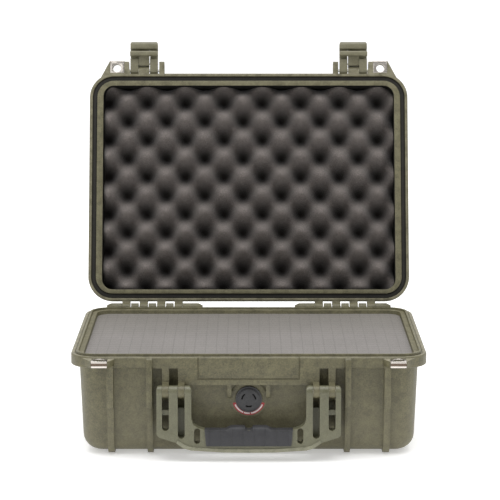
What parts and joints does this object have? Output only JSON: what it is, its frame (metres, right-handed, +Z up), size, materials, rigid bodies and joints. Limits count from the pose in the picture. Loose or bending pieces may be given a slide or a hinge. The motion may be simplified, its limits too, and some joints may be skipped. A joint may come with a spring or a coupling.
{
  "type": "hard equipment case",
  "caption": "Rigid hinged carrying case with a gasketed lid, latches, a swinging front handle, padlock ears, a pressure valve and foam in lid and base.",
  "frame": {"origin": "middle of the base's plan, on the level of the skid ribs it stands on", "axes": "+X to the right seen from the front, +Y to the hinges at the back, +Z up"},
  "size_m": [0.406, 0.4629, 0.4429],
  "materials": {
    "case_plastic": "olive green moulded plastic, fine texture",
    "black_plastic": "black moulded plastic",
    "red_label": "printed ring",
    "gasket_rubber": "soft black",
    "grip_rubber": "matt over-moulding",
    "foam_dark": "open-cell foam",
    "foam_grey": "open-cell foam, scored",
    "steel": "stainless sheet and rod"
  },
  "bodies": {
    "base": {"base_shell": "case_plastic", "foam_base_pad": "foam_dark", "pluck_foam": "foam_grey", "padlock_protector_base_left": "steel", "padlock_protector_base_right": "steel", "hinge_pins": "steel", "handle_pins": "steel", "valve_body": "black_plastic", "valve_cap": "black_plastic", "valve_label": "red_label"},
    "lid": {"lid_shell": "case_plastic", "lid_gasket": "gasket_rubber", "lid_foam": "foam_dark", "padlock_protector_lid_left": "steel", "padlock_protector_lid_right": "steel", "latch_pins": "steel"},
    "latch_left": {"latch_lever_left": "case_plastic", "latch_jaw_pin_left": "steel"},
    "latch_right": {"latch_lever_right": "case_plastic", "latch_jaw_pin_right": "steel"},
    "jaw_left": {"latch_jaw_left": "case_plastic"},
    "jaw_right": {"latch_jaw_right": "case_plastic"},
    "handle": {"handle_frame": "case_plastic", "handle_grip": "grip_rubber"}
  },
  "joints": [
    {"name": "lid_hinge", "type": "hinge", "parent": "base", "child": "lid", "pos_m": [0, 0.1555, 0.1155], "axis": [1, 0, 0], "range_deg": [0, 107]},
    {"name": "latch_left_swing", "type": "hinge", "parent": "lid", "child": "latch_left", "pos_m": [-0.134, 0.25133, 0.40671], "axis": [1, 0, 0], "range_deg": [0, 90]},
    {"name": "jaw_left_swing", "type": "hinge", "parent": "latch_left", "child": "jaw_left", "pos_m": [-0.134, 0.25324, 0.41501], "axis": [-1, 0, 0], "range_deg": [0, 8]},
    {"name": "latch_right_swing", "type": "hinge", "parent": "lid", "child": "latch_right", "pos_m": [0.134, 0.25133, 0.40671], "axis": [1, 0, 0], "range_deg": [0, 90]},
    {"name": "jaw_right_swing", "type": "hinge", "parent": "latch_right", "child": "jaw_right", "pos_m": [0.134, 0.25324, 0.41501], "axis": [-1, 0, 0], "range_deg": [0, 8]},
    {"name": "handle_swing", "type": "hinge", "parent": "base", "child": "handle", "pos_m": [0, -0.158, 0.08], "axis": [-1, 0, 0], "range_deg": [0, 95]}
  ]
}
